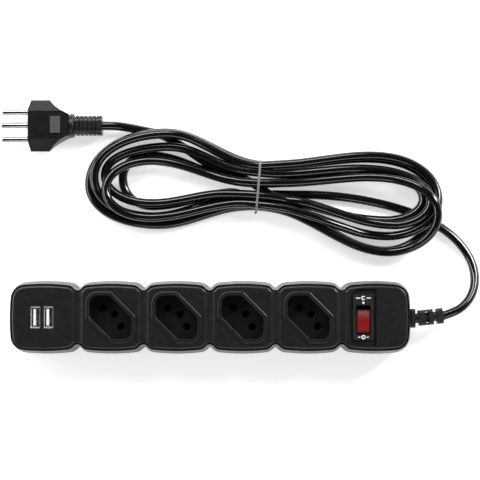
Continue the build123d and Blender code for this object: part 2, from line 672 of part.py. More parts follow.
def relief_plane(x):
    """A plane across the strain relief's slanting axis."""
    return Plane(
        relief_start + relief_run * ((x - relief_start.X) / relief_run.X),
        x_dir=(-relief_run.Y, relief_run.X, 0),
        z_dir=relief_run,
    )


with BuildPart() as strain_relief:
    with BuildSketch(Plane.YZ.offset(HALF_LENGTH - 4.2)):
        with Locations((0, PARTING_Z)):
            RectangleRounded(12.6, 12.6, 2)
    extrude(amount=1.6)
    with BuildSketch(Plane.YZ.offset(HALF_LENGTH - 2.6)):
        with Locations((0, PARTING_Z)):
            Rectangle(RELIEF_NECK, RELIEF_NECK)
    extrude(amount=5)
    with BuildSketch(Plane.YZ.offset(HALF_LENGTH + 2.3)):
        with Locations((-0.7, PARTING_Z)):
            RectangleRounded(RELIEF_COLLAR[0], RELIEF_COLLAR[0], 2.2)
    extrude(amount=RELIEF_COLLAR[1] - HALF_LENGTH - 2.3)
    # flexible core, then the blocks round it
    with BuildSketch(relief_plane(RELIEF_COLLAR[1] - 1)):
        Circle(RELIEF_CORE_RADIUS)
    extrude(amount=(RELIEF_END[0] - RELIEF_COLLAR[1] + 1) * relief_run.length / relief_run.X)
    for block_x, block_long in RELIEF_BLOCKS:
        with BuildSketch(relief_plane(block_x)):
            RectangleRounded(RELIEF_BLOCK, RELIEF_BLOCK, 2)
        extrude(amount=block_long)
    with BuildSketch(relief_plane(RELIEF_SLOT[0])):
        Rectangle(RELIEF_SLOT[2], 2 * RELIEF_BLOCK)
        Circle(RELIEF_CORE_RADIUS, mode=Mode.SUBTRACT)
    extrude(amount=RELIEF_SLOT[1], mode=Mode.SUBTRACT)
finish(strain_relief, "strain_relief")

# ---------------------------------------------------------------- cord: lead tube, hank and tail tube
LEAD = [
    RELIEF_END,
    (167.7, 3.6, 16.5),
    (174.4, 8.1, 14.8),
    (179.4, 14.4, 12.3),
    (182.2, 22.0, 9.4),
    (182.6, 30.2, 6.6),
    (180.8, 38.5, 4.5),
    (176.6, 46.3, 3.4),
    (170.4, 53.9, 3.15),
    (162.5, 60.5, 3.15),
    (152.2, 66.9, 3.15),
    (139.2, 72.7, 3.15),
    (123.7, 77.5, 3.15),
    (106.2, 81.4, 3.15),
    (88.2, 84.0, 3.15),
    (70.0, 85.1, 3.15),
]
TAIL = [
    (BOOT_END_X, PLUG_Y, PLUG_AXIS_Z),
    (-67.8, 132.9, 8.0),
    (-60.2, 132.2, 6.6),
    (-52.4, 130.9, 4.8),
    (-44.6, 129.4, 3.5),
    (-36.6, 127.9, 3.15),
]
for tube_name, route in (("cord_lead", LEAD), ("cord_tail", TAIL)):
    radii = tube_radii(route)
    with BuildPart() as tube:
        length = sweep_tube(route, CORD_RADIUS, radii)
    print(tube_name, "length", round(length, 1), "radii", [round(r) for r in radii])
    print(tube_name, "volume over section x length", tube.part.volume / (pi * CORD_RADIUS**2 * length))
    finish(tube, tube_name)

HANK_OUTSIDE = [
    (33.0, 109.0),
    (13.0, 113.2),
    (-3.0, 120.0),
    (-16.0, 127.0),
    (-28.5, 130.6),
    (-43.0, 128.2),
    (-58.0, 124.4),
    (-73.0, 118.4),
    (-83.0, 106.0),
    (-88.6, 91.0),
    (-85.6, 79.0),
    (-74.8, 68.4),
    (-54.0, 61.4),
    (-31.4, 60.4),
    (-6.4, 65.8),
    (14.0, 71.6),
    (32.0, 74.2),
    (60.4, 66.6),
    (81.0, 54.8),
    (102.4, 45.0),
    (124.2, 42.2),
    (146.4, 49.0),
    (157.2, 60.0),
    (160.6, 75.0),
    (160.0, 89.3),
    (152.8, 102.4),
    (139.2, 110.4),
    (110.2, 115.2),
    (82.0, 112.4),
    (55.0, 109.0),
]
LEFT_LOOP = [
    (16.0, 89.2),
    (-15.0, 100.0),
    (-40.0, 105.4),
    (-54.0, 102.5),
    (-58.3, 95.0),
    (-56.5, 88.0),
    (-48.0, 82.6),
    (-36.0, 81.8),
    (-14.0, 85.6),
    (4.0, 88.0),
]
RIGHT_LOOP = [
    (47.0, 87.6),
    (62.0, 89.4),
    (84.0, 91.2),
    (110.0, 93.4),
    (130.0, 90.6),
    (141.5, 84.5),
    (142.5, 77.5),
    (136.0, 71.6),
    (122.0, 69.4),
    (105.0, 70.6),
    (86.0, 74.4),
    (62.0, 81.4),
]
TIE_LOW = (0.9, 75.4)  # lowest z and y of the strands inside the tie
TIE_HIGH = (12.0, 108.2)
TIE_WIDTH = 2.0
TIE_THICK = 0.8


def tie_section(grow):
    """The rounded section that the tie is pulled round."""
    with Locations(((TIE_LOW[1] + TIE_HIGH[1]) / 2, (TIE_LOW[0] + TIE_HIGH[0]) / 2)):
        RectangleRounded(
            TIE_HIGH[1] - TIE_LOW[1] + 2 * grow,
            TIE_HIGH[0] - TIE_LOW[0] + 2 * grow,
            3.0 + grow,
        )


with BuildPart() as cord_hank:
    with BuildSketch():
        for outline, mode in ((HANK_OUTSIDE, Mode.ADD), (LEFT_LOOP, Mode.SUBTRACT), (RIGHT_LOOP, Mode.SUBTRACT)):
            with BuildSketch(mode=Mode.PRIVATE) as region:
                with BuildLine():
                    Spline(*outline, periodic=True)
                make_face()
            add(region.sketch, mode=mode)
    extrude(amount=HANK_HEIGHT)
    # where the tie squeezes it
    with BuildSketch(Plane.YZ.offset(TIE_X)):
        with Locations((92, HANK_HEIGHT / 2)):
            Rectangle(60, HANK_HEIGHT + 4)
        with BuildSketch(Plane.XY, mode=Mode.PRIVATE) as kept:
            tie_section(0)
        add(kept.sketch, mode=Mode.SUBTRACT)
    extrude(amount=TIE_WIDTH / 2 + 0.1, both=True, mode=Mode.SUBTRACT)
finish(cord_hank, "cord_hank")

with BuildPart() as twist_tie:
    with BuildSketch(Plane.YZ.offset(TIE_X)):
        tie_section(TIE_THICK)
        with BuildSketch(Plane.XY, mode=Mode.PRIVATE) as inside:
            tie_section(0)
        add(inside.sketch, mode=Mode.SUBTRACT)
    extrude(amount=TIE_WIDTH / 2, both=True)
finish(twist_tie, "twist_tie")

# ---------------------------------------------------------------- plug
PLUG_HALF_WIDE = 18.3
PLUG_HALF_HIGH = 8.5
PLUG_FULL_LONG = 14.0
PLUG_NECK_X = -98.2
PLUG_NECK_HALF = 7.6
PIN_TIP_X = PLUG_FACE_X - PIN_LENGTH
PIN_ROOT = 7.0
PLUG_PINS = [
    ("line", PLUG_Y + PIN_PITCH / 2, PLUG_AXIS_Z),
    ("neutral", PLUG_Y - PIN_PITCH / 2, PLUG_AXIS_Z),
    ("earth", PLUG_Y, PLUG_AXIS_Z + EARTH_OFFSET),
]
PIN_ROOT_RADIUS = 1.6
BRIDGE_START = 2.5  # behind the plug's face
BRIDGE_LONG = 6.0
GRIP_X = -107.2
GRIP = (7.2, 11.8)
GRIP_RAISE = 0.5
GRIP_GROOVE = (0.5, 0.4)  # width and depth


def pin_roots():
    """The three pins' roots, drawn on a plane across the plug."""
    with Locations(*[(y, z) for _, y, z in PLUG_PINS]):
        Circle(PIN_ROOT_RADIUS)


def bridge_section():
    """The inner bridge's section: a bar across all three pins with a step up to the earth pin."""
    with Locations((PLUG_Y, PLUG_AXIS_Z)):
        Rectangle(23.4, 6)
    with Locations((PLUG_Y, PLUG_AXIS_Z + 3)):
        Rectangle(8, 4.8)


with BuildPart() as plug_body:
    with BuildSketch(Plane.YZ.offset(PLUG_FACE_X)) as hexagon:
        with BuildLine():
            facet = PLUG_HALF_WIDE - PLUG_HALF_HIGH
            Polyline(
                (PLUG_Y - PLUG_HALF_WIDE, PLUG_AXIS_Z),
                (PLUG_Y - facet, PLUG_AXIS_Z + PLUG_HALF_HIGH),
                (PLUG_Y + facet, PLUG_AXIS_Z + PLUG_HALF_HIGH),
                (PLUG_Y + PLUG_HALF_WIDE, PLUG_AXIS_Z),
                (PLUG_Y + facet, PLUG_AXIS_Z - PLUG_HALF_HIGH),
                (PLUG_Y - facet, PLUG_AXIS_Z - PLUG_HALF_HIGH),
                close=True,
            )
        make_face()
        fillet(hexagon.vertices(), 0.8)
    extrude(amount=PLUG_NECK_X - PLUG_FACE_X)
    # plan shape: bevelled front corners and hollow shoulders running in to the neck
    with BuildSketch(Plane.XY.offset(-1)):
        with BuildLine():
            shoulder_x = PLUG_FACE_X + PLUG_FULL_LONG
            hollow_x = (shoulder_x + PLUG_NECK_X) / 2 - 0.6
            hollow_y = (PLUG_HALF_WIDE + PLUG_NECK_HALF) / 2 - 1.2
            Polyline(
                (PLUG_NECK_X, PLUG_Y),
                (PLUG_FACE_X, PLUG_Y),
                (PLUG_FACE_X, PLUG_Y + 11.5),
                (PLUG_FACE_X + 1.4, PLUG_Y + PLUG_HALF_WIDE),
                (shoulder_x, PLUG_Y + PLUG_HALF_WIDE),
            )
            ThreePointArc(
                (shoulder_x, PLUG_Y + PLUG_HALF_WIDE),
                (hollow_x, PLUG_Y + hollow_y),
                (PLUG_NECK_X, PLUG_Y + PLUG_NECK_HALF),
            )
            Line((PLUG_NECK_X, PLUG_Y + PLUG_NECK_HALF), (PLUG_NECK_X, PLUG_Y))
        make_face()
        mirror(about=Plane.XZ.offset(-PLUG_Y))
    extrude(amount=30, mode=Mode.INTERSECT)
    # round neck towards the boot
    with BuildSketch(Plane.YZ.offset(PLUG_NECK_X)):
        with Locations((PLUG_Y, PLUG_AXIS_Z)):
            Circle(7.2)
    extrude(amount=0.8)
    # ribbed grip on top
    with BuildSketch(Plane.XY.offset(PLUG_AXIS_Z + PLUG_HALF_HIGH)):
        with Locations((GRIP_X, PLUG_Y)):
            RectangleRounded(GRIP[0], GRIP[1], 0.8)
    extrude(amount=GRIP_RAISE)
    with BuildSketch(Plane.XY.offset(PLUG_AXIS_Z + PLUG_HALF_HIGH + GRIP_RAISE - GRIP_GROOVE[1])):
        with Locations((GRIP_X, PLUG_Y)):
            with GridLocations(0, GRIP[1] / 9, 1, 8):
                Rectangle(GRIP[0] - 1.2, GRIP_GROOVE[0])
    extrude(amount=GRIP_GROOVE[1], mode=Mode.SUBTRACT)
    # pins' holes and the bridge's pocket
    with BuildSketch(Plane.YZ.offset(PLUG_FACE_X)):
        pin_roots()
    extrude(amount=BRIDGE_START, mode=Mode.SUBTRACT)
    with BuildSketch(Plane.YZ.offset(PLUG_FACE_X + BRIDGE_START)):
        bridge_section()
    extrude(amount=BRIDGE_LONG, mode=Mode.SUBTRACT)
finish(plug_body, "plug_body")

with BuildPart() as plug_insert:
    with BuildSketch(Plane.YZ.offset(PLUG_FACE_X + BRIDGE_START)):
        bridge_section()
    extrude(amount=BRIDGE_LONG)
    with BuildSketch(Plane.YZ.offset(PLUG_FACE_X + BRIDGE_START)):
        pin_roots()
    extrude(amount=PIN_ROOT - BRIDGE_START, mode=Mode.SUBTRACT)
finish(plug_insert, "plug_insert")

for pin_name, pin_y, pin_z in PLUG_PINS:
    with BuildPart() as plug_pin:
        with BuildSketch(Plane.YZ.offset(PIN_TIP_X)):
            with Locations((pin_y, pin_z)):
                Circle(PIN_RADIUS)
        extrude(amount=PIN_LENGTH)
        with BuildSketch(Plane.YZ.offset(PLUG_FACE_X)):
            with Locations((pin_y, pin_z)):
                Circle(PIN_ROOT_RADIUS)
        extrude(amount=PIN_ROOT)
        fillet(plug_pin.edges().filter_by(GeomType.CIRCLE).sort_by(Axis.X)[0], 1.0)
    finish(plug_pin, f"plug_pin_{pin_name}")

BOOT_SECTION = (13.6, 13.0, 4.6)  # width, height and corner radius of the ribs
BOOT_GROOVE = 0.9
RIB_PITCH = 2.9
RIB_LONG = 1.9
END_RIB_LONG = 3.4
RIBS = 5
FLANGE_X = PLUG_NECK_X + 0.8
FLANGE_THICK = 2.8
FLANGE_RADIUS = 8.3


def boot_section(inset):
    """The boot's rounded section, drawn inset from its ribs."""
    wide, high, corner = BOOT_SECTION
    with Locations((PLUG_Y, PLUG_AXIS_Z)):
        RectangleRounded(wide - 2 * inset, high - 2 * inset, corner - inset)


with BuildPart() as plug_boot:
    with BuildSketch(Plane.YZ.offset(FLANGE_X)):
        with Locations((PLUG_Y, PLUG_AXIS_Z)):
            Circle(FLANGE_RADIUS)
    extrude(amount=FLANGE_THICK)
    chamfer(plug_boot.faces().sort_by(Axis.X)[-1].edges(), 0.9)
    with BuildSketch(Plane.YZ.offset(FLANGE_X)):
        boot_section(BOOT_GROOVE)
    extrude(amount=BOOT_END_X - FLANGE_X)
    with BuildSketch(Plane.YZ.offset(BOOT_END_X - END_RIB_LONG)):
        boot_section(0)
    extrude(amount=END_RIB_LONG)
    for rib in range(RIBS):
        with BuildSketch(Plane.YZ.offset(BOOT_END_X - END_RIB_LONG - (rib + 1) * RIB_PITCH)):
            boot_section(0)
        extrude(amount=RIB_LONG)
finish(plug_boot, "plug_boot")
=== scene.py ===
"""A four-outlet power strip with two charging ports, a lit rocker switch and its lead tied in a hank.

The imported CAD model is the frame. This script adds the free lead, the wire tie, the marks beside the switch,
the finish of every piece and the light. Shapes are in millimetres. Finishes, lights and camera are in metres.
"""

import json
import math

import bpy
import numpy as np
from mathutils import Matrix, Vector, geometry


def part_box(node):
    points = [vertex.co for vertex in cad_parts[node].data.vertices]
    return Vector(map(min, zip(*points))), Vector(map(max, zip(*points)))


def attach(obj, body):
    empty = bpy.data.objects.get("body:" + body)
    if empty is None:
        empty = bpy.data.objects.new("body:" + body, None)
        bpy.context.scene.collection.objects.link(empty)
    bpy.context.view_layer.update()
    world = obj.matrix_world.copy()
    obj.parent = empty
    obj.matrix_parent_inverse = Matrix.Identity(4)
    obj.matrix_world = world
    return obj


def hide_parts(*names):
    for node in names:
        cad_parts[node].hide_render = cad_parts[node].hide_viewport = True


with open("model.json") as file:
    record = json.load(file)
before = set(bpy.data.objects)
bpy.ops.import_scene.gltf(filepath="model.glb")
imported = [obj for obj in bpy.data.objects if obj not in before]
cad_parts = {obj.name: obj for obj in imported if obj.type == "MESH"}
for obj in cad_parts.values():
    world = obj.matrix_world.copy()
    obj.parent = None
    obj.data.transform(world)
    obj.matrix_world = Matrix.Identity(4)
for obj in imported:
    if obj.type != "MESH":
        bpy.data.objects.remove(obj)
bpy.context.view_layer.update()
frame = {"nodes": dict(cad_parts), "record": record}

MM = 0.001
CORD_DIAMETER = 6.2
TIE_X = 33.1  # where the tie crosses the hank
FLOOR_HEIGHT = CORD_DIAMETER / 2  # of the lead's middle where it lies on the floor

# ---------------------------------------------------------------- the lead

# The two free stretches of the lead: out of the strip to the hank, and out of the plug to the hank.
LEAD = [
    (160.0, 1.2, 17.0), (167.7, 3.6, 16.5), (174.4, 8.1, 14.8), (179.4, 14.4, 12.3), (182.2, 22.0, 9.4),
    (182.6, 30.2, 6.6), (180.8, 38.5, 4.5), (176.6, 46.3, 3.4), (170.4, 53.9, 3.15), (162.5, 60.5, 3.15),
    (152.2, 66.9, 3.15), (139.2, 72.7, 3.15), (123.7, 77.5, 3.15), (106.2, 81.4, 3.15), (88.2, 84.0, 3.15),
    (70.0, 85.1, 3.15),
]
LEAD_HELD = 8  # the points of LEAD whose height is kept as given, and the rest settle
TAIL = [
    (-75.4, 132.8, 8.5), (-67.8, 132.9, 8.0), (-60.2, 132.2, 6.6), (-52.4, 130.9, 4.8), (-44.6, 129.4, 3.5),
    (-36.6, 127.9, 3.15),
]

# The last of the lead before the first fold, and the stretch of the tail that passes under the tie and the
# heap, as (x, y, height at the tie, rank).
LEAD_END = [(56.0, 85.0, 3.15, 0), (44.0, 85.3, 3.3, 0), (31.0, 85.0, 3.4, 0)]
BURIED = [
    (38.5, 86.3, 6.6, 2), (30.5, 92.2, 5.6, 1), (22.5, 96.5, 4.4, 0), (14.0, 99.2, 3.3, 0),
    (4.5, 102.8, 3.15, 0), (-6.5, 109.5, 3.15, 0), (-18.5, 118.0, 3.15, 0), (-28.0, 124.0, 3.15, 0),
]

# One row for each fold of the hank, in the order in which the lead runs through them. A fold leaves the tie,
# swells out to its first side, turns at its reach, comes back along its second side and enters the tie again.
# The points at the tie are (x, y, height), and the others are (x, y). The last three numbers rank its first
# side, its end and its second side in the heap, lowest first.
FOLDS = [
    ((20, 82.8, 3.4), (-40, 69.4), (-81.5, 97.5), (-28, 126.8), (32, 104.6, 9.6), (2, 2, 2)),
    ((42, 105.3, 9.6), (112, 112.0), (157.4, 81.5), (121, 55.7), (36, 77.4, 12.6), (2, 2, 3)),
    ((22, 79.0, 9.8), (-41, 68.5), (-72.9, 88.5), (-40, 108.7), (27, 92.7, 12.0), (4, 4, 4)),
    ((46, 92.6, 11.4), (110, 96.8), (156.2, 71.0), (120.5, 44.4), (36, 76.9, 7.0), (5, 5, 2)),
    ((24, 77.2, 3.4), (-36, 63.8), (-85.5, 92.5), (-30, 128.4), (36, 105.4, 3.4), (1, 1, 1)),
    ((42, 105.0, 3.4), (110, 110.6), (155.6, 82.5), (119.5, 45.4), (40, 77.8, 3.4), (1, 1, 1)),
    ((18, 87.2, 3.4), (-40, 77.0), (-61.7, 96.5), (-43, 113.2), (27, 93.0, 3.4), (0, 0, 0)),
    ((42, 92.8, 3.4), (104, 101.8), (147.4, 82.5), (121, 66.6), (28, 84.6, 12.2), (1, 1, 1)),
    ((10, 85.3, 9.4), (-41, 78.6), (-74.1, 99.5), (-28, 118.4), (27, 100.6, 10.6), (3, 3, 3)),
    ((44, 98.9, 9.8), (104, 102.8), (151.6, 80.5), (126, 63.2), (46, 81.8, 8.4), (3, 3, 3)),
]
SIDE_STEPS = 5  # points along each side of a fold
END_STEPS = 5  # points round each quarter of its end
END_SQUARENESS = 2.1  # 2 is an ellipse, and more is squarer

# How the strands settle on each other away from the tie.
SETTLE_STEP = 1.0  # between the places that are compared
SETTLE_PASSES = 2
SETTLE_CLEAR = 30.0  # the nearest stretch of the same lead that a place can lie on
SETTLE_DIAMETER = 6.0  # a little less than the lead's, which gives where it rests
SMOOTH_REACH = 7  # places to either side
SMOOTH_PASSES = 2
TIE_CORE = 16.0  # this near to the tie, it holds every strand at its own height
TIE_HOLD = 30.0  # and from here on, it doesn't hold them at all


def eased(share):
    """0 to 1 with a level start and a level end."""
    return share * share * (3 - 2 * share)


def run_side(start, end):
    """Points from start, up to but not at end, that leave and arrive along X."""
    points = []
    for step in range(SIDE_STEPS):
        share = step / SIDE_STEPS
        x = start[0] + (end[0] - start[0]) * share
        y = start[1] + (end[1] - start[1]) * eased(share)
        points.append((x, y))
    return points


def run_quarter(side, reach, outward):
    """Points of the rounded quarter between a side and the reach, from the side if outward."""
    points = []
    for step in range(END_STEPS):
        angle = math.pi / 2 * step / END_STEPS
        if not outward:
            angle = math.pi / 2 - angle
        along = math.sin(angle) ** (2 / END_SQUARENESS)
        across = math.cos(angle) ** (2 / END_SQUARENESS)
        x = side[0] + (reach[0] - side[0]) * along
        y = reach[1] + (side[1] - reach[1]) * across
        points.append((x, y))
    return points


def hank_outline():
    """The hank's points as (x, y, rank) through every fold in turn, and the height of each one at the tie."""
    points = [(x, y, rank) for x, y, height, rank in LEAD_END]
    tied = [height for x, y, height, rank in LEAD_END]
    for enter, first, reach, second, leave, ranks in FOLDS:
        outward = run_side(enter, first)
        end = run_quarter(first, reach, True) + run_quarter(second, reach, False)
        back = run_side(second, leave) + [leave[:2]]
        for stretch, rank in zip((outward, end, back), ranks):
            points += [(x, y, rank) for x, y in stretch]
        tied += [enter[2]] * (len(outward) + END_STEPS) + [leave[2]] * (END_STEPS + len(back))
    for x, y, height, rank in BURIED:
        points.append((x, y, rank))
        tied.append(height)
    return points, tied


def smoothed(heights):
    """Heights with every hump widened and then averaged, so that the lead climbs gently."""
    window = 2 * SMOOTH_REACH + 1
    widened = np.pad(heights, SMOOTH_REACH, mode="edge")
    level = np.max([widened[shift:shift + len(heights)] for shift in range(window)], axis=0)
    for _ in range(SMOOTH_PASSES):
        level = np.convolve(np.pad(level, SMOOTH_REACH, mode="edge"), np.ones(window) / window, mode="valid")
    return level


def settled_heights(points, tied):
    """The height of each point. Each stretch lies on those ranked below it, and the tie holds its own."""
    points = np.array(points, float)
    marks = np.concatenate([[0], np.cumsum(np.hypot(*np.diff(points[:, :2], axis=0).T))])
    places = np.arange(0, marks[-1], SETTLE_STEP)
    route = np.stack([np.interp(places, marks, points[:, column]) for column in (0, 1)], 1)
    ranks = points[np.searchsorted(marks, places), 2]
    from_tie = np.abs(route[:, 0] - TIE_X)
    loose = from_tie > TIE_CORE
    heights = np.full(len(places), FLOOR_HEIGHT)
    for _ in range(SETTLE_PASSES):
        for rank in sorted(set(ranks))[1:]:
            mine = np.flatnonzero(loose & (ranks == rank))
            below = np.flatnonzero(loose & (ranks < rank))
            gaps = route[mine, None] - route[None, below]
            apart = np.hypot(gaps[..., 0], gaps[..., 1])
            apart[np.abs(places[mine, None] - places[None, below]) < SETTLE_CLEAR] = CORD_DIAMETER
            rise = np.sqrt(np.maximum(0, SETTLE_DIAMETER**2 - apart**2))
            resting = np.where(rise > 0, heights[below][None, :] + rise, 0).max(axis=1)
            heights[mine] = np.maximum(heights[mine], resting)
        heights = smoothed(heights)
    held = eased(np.clip((TIE_HOLD - from_tie) / (TIE_HOLD - TIE_CORE), 0, 1))
    heights += (np.interp(places, marks, tied) - heights) * held
    return np.interp(marks, places, heights)


CURVE_ORDER = 3
CURVE_STEPS = 6  # between two points
CURVE_ROUNDNESS = 5  # Blender's bevel resolution


def make_curve(name, points, radius, material):
    """A round cord of that radius along a smooth spline."""
    data = bpy.data.curves.new(name, "CURVE")
    data.dimensions = "3D"
    spline = data.splines.new("NURBS")
    spline.points.add(len(points) - 1)
    for target, point in zip(spline.points, points):
        target.co = (*(value * MM for value in point), 1)
    spline.order_u = CURVE_ORDER
    spline.use_endpoint_u = True
    spline.resolution_u = CURVE_STEPS
    data.bevel_depth = radius * MM
    data.bevel_resolution = CURVE_ROUNDNESS
    data.use_fill_caps = True
    data.materials.append(material)
    piece = bpy.data.objects.new(name, data)
    bpy.context.scene.collection.objects.link(piece)
    return piece


def cord_route():
    """Every point of the lead, from the strip's outlet to the plug's boot."""
    folded, tied = hank_outline()
    before = [(x, y, 0) for x, y, z in LEAD[LEAD_HELD:]]
    after = [(x, y, 0) for x, y, z in reversed(TAIL)]
    flat = before + folded + after
    heights = settled_heights(flat, [FLOOR_HEIGHT] * len(before) + tied + [FLOOR_HEIGHT] * len(after))
    laid = [(x, y, height) for (x, y, rank), height in zip(flat, heights)]
    return LEAD[:LEAD_HELD] + laid[:-len(TAIL)] + TAIL[::-1]


# ---------------------------------------------------------------- the wire tie

TIE_RIM_POINTS = 32  # round each strand, to find the hull
TIE_GAP = 0.1
TIE_STEP = 2.0  # between the tie's sections
TIE_FLOOR = 0.04  # the tie's lowest height
TIE_LEAN = 0.08  # its slant, in X for each unit of Y
TIE_MIDDLE = 91.5  # the Y at which the slanting tie crosses TIE_X
TIE_SECTION = [  # across, and out from the strands
    (-0.8, 0), (0.8, 0), (0.8, 0.35), (0.4, 0.45), (0.2, 0.75), (-0.2, 0.75), (-0.4, 0.45), (-0.8, 0.35),
]
TWIST_STEPS = 24
TWIST_TURNS = 2.5
TWIST_RADIUS = 1.0
TWIST_SPREAD = 0.35  # half of each strand's share of the turn, in radians
TWIST_START = (TIE_X - 1.4, 73.9, 3.0)
TWIST_END = (TIE_X - 2.2, 72.0, 1.8)


def make_mesh(name, points, faces, material):
    """A smooth mesh piece that rides with the strip."""
    data = bpy.data.meshes.new(name)
    data.from_pydata([[value * MM for value in point] for point in points], [], faces)
    data.materials.append(material)
    data.polygons.foreach_set("use_smooth", [True] * len(data.polygons))
    piece = bpy.data.objects.new(name, data)
    bpy.context.scene.collection.objects.link(piece)
    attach(piece, "housing")
    return piece


def swept(rings, closed):
    """Faces between rings of equally many points, with end caps unless the sweep is closed."""
    count = len(rings[0])
    faces = []
    for ring in range(len(rings) if closed else len(rings) - 1):
        here, there = ring * count, (ring + 1) % len(rings) * count
        for side in range(count):
            after = (side + 1) % count
            faces.append((here + side, here + after, there + after, there + side))
    if not closed:
        faces += [tuple(range(count))[::-1], tuple(range(len(rings) * count - count, len(rings) * count))]
    return faces


def tie_loop(route):
    """The tie's inner line in Y and Z: the hull of every strand that crosses it."""
    rims = []
    for start, end in zip(route, route[1:]):
        if (start[0] - TIE_X) * (end[0] - TIE_X) < 0:
            share = (TIE_X - start[0]) / (end[0] - start[0])
            middle = [start[axis] + (end[axis] - start[axis]) * share for axis in (1, 2)]
            reach = CORD_DIAMETER / 2 + TIE_GAP
            for step in range(TIE_RIM_POINTS):
                angle = 2 * math.pi * step / TIE_RIM_POINTS
                rims.append((middle[0] + reach * math.cos(angle), middle[1] + reach * math.sin(angle)))
    return [rims[index] for index in geometry.convex_hull_2d(rims)]


def evenly(loop, step):
    """A closed line, its long sides filled in with points about step apart."""
    points = []
    for here, there in zip(loop, loop[1:] + loop[:1]):
        count = max(1, round(math.dist(here, there) / step))
        points += [[a + (b - a) * share / count for a, b in zip(here, there)] for share in range(count)]
    return points


def twisted_ends():
    """Sections of the tie's two ends twisted together: two corners for each end in every section."""
    rings = []
    for step in range(TWIST_STEPS + 1):
        share = step / TWIST_STEPS
        turn = 2 * math.pi * TWIST_TURNS * share
        middle = [a + (b - a) * share for a, b in zip(TWIST_START, TWIST_END)]
        ring = []
        for spread in (-TWIST_SPREAD, TWIST_SPREAD, math.pi - TWIST_SPREAD, math.pi + TWIST_SPREAD):
            angle = turn + spread
            x = middle[0] + TWIST_RADIUS * math.cos(angle)
            z = middle[2] + TWIST_RADIUS * math.sin(angle)
            ring.append((x, middle[1], z))
        rings.append(ring)
    return rings


def make_tie(route, material):
    """A coated wire tie pulled round the hank, its two ends twisted together beside it."""
    loop = evenly(tie_loop(route), TIE_STEP)
    rings = []
    for before, here, after in zip(loop[-1:] + loop[:-1], loop, loop[1:] + loop[:1]):
        along = Vector((after[0] - before[0], after[1] - before[1])).normalized()
        ring = []
        for across, out in TIE_SECTION:
            y, z = here[0] + along.y * out, here[1] - along.x * out
            ring.append((TIE_X + TIE_LEAN * (y - TIE_MIDDLE) + across, y, max(z, TIE_FLOOR)))
        rings.append(ring)
    points = [point for ring in rings for point in ring]
    faces = swept(rings, True)
    twist = twisted_ends()
    faces += [tuple(index + len(points) for index in face) for face in swept(twist, False)]
    points += [point for ring in twist for point in ring]
    tie = make_mesh("wire_tie", points, faces, material)
    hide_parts("twist_tie")


# ---------------------------------------------------------------- marks beside the switch

PLATE_LOW, PLATE_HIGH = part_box("switch_plate")
PLATE_CENTRE = [
    (PLATE_LOW[0] + PLATE_HIGH[0]) / 2 / MM,
    (PLATE_LOW[1] + PLATE_HIGH[1]) / 2 / MM,
    PLATE_HIGH[2] / MM,
]
MARK_SINK = -0.02  # the print's underside, from the plate's top
MARK_THICK = 0.08
MARK_STROKE = 0.6
MARK_RING = 1.1  # radius
MARK_INNER = 2.1  # where the bars start, to either side of the middle
UPPER_Y = 13.0
UPPER_REACH = 5.1  # where the upper bars end
UPPER_OPENING = 40  # degrees, to either side of the gap's middle
UPPER_STEPS = 28
DOT_Y = 9.8
DOT_RADIUS = 0.75
DOT_SIDES = 24
LOWER_Y = -13.3
LOWER_REACH = 3.6
LOWER_TURN = 358  # degrees, so that the ring's two ends don't touch
LOWER_STEPS = 36


def mark_point(x, y, rise):
    """A point of the print, x and y from the label plate's centre, at its underside or its top."""
    return PLATE_CENTRE[0] + x, PLATE_CENTRE[1] + y, PLATE_CENTRE[2] + MARK_SINK + rise * MARK_THICK


def arc_rings(centre, radius, start, end, steps):
    """Square sections of a printed stroke along an arc, angles in degrees."""
    rings = []
    for step in range(steps + 1):
        angle = math.radians(start + (end - start) * step / steps)
        ring = []
        for reach, rise in ((-1, 0), (1, 0), (1, 1), (-1, 1)):
            out = radius + reach * MARK_STROKE / 2
            x = centre[0] + out * math.cos(angle)
            y = centre[1] + out * math.sin(angle)
            ring.append(mark_point(x, y, rise))
        rings.append(ring)
    return rings


def bar_rings(left, right, middle):
    """The two ends of a printed bar along X."""
    half = MARK_STROKE / 2
    corners = ((middle - half, 0), (middle + half, 0), (middle + half, 1), (middle - half, 1))
    return [[mark_point(x, y, rise) for y, rise in corners] for x in (left, right)]


def dot_rings():
    """The underside and the top of the printed dot."""
    rings = []
    for rise in (0, 1):
        ring = []
        for step in range(DOT_SIDES):
            angle = 2 * math.pi * step / DOT_SIDES
            ring.append(mark_point(DOT_RADIUS * math.cos(angle), DOT_Y + DOT_RADIUS * math.sin(angle), rise))
        rings.append(ring)
    return rings


def make_marks(material):
    """Two bars and an open ring over a dot above the rocker, and two bars and a ring below it."""
    shapes = [
        bar_rings(-UPPER_REACH, -MARK_INNER, UPPER_Y),
        bar_rings(MARK_INNER, UPPER_REACH, UPPER_Y),
        arc_rings((0, UPPER_Y), MARK_RING, UPPER_OPENING, 360 - UPPER_OPENING, UPPER_STEPS),
        dot_rings(),
        bar_rings(-LOWER_REACH, -MARK_INNER, LOWER_Y),
        bar_rings(MARK_INNER, LOWER_REACH, LOWER_Y),
        arc_rings((0, LOWER_Y), MARK_RING, 0, LOWER_TURN, LOWER_STEPS),
    ]
    points, faces = [], []
    for rings in shapes:
        faces += [tuple(index + len(points) for index in face) for face in swept(rings, False)]
        points += [point for ring in rings for point in ring]
    piece = make_mesh("switch_marks", points, faces, material)
    piece.data.polygons.foreach_set("use_smooth", [False] * len(piece.data.polygons))


# ---------------------------------------------------------------- finishes

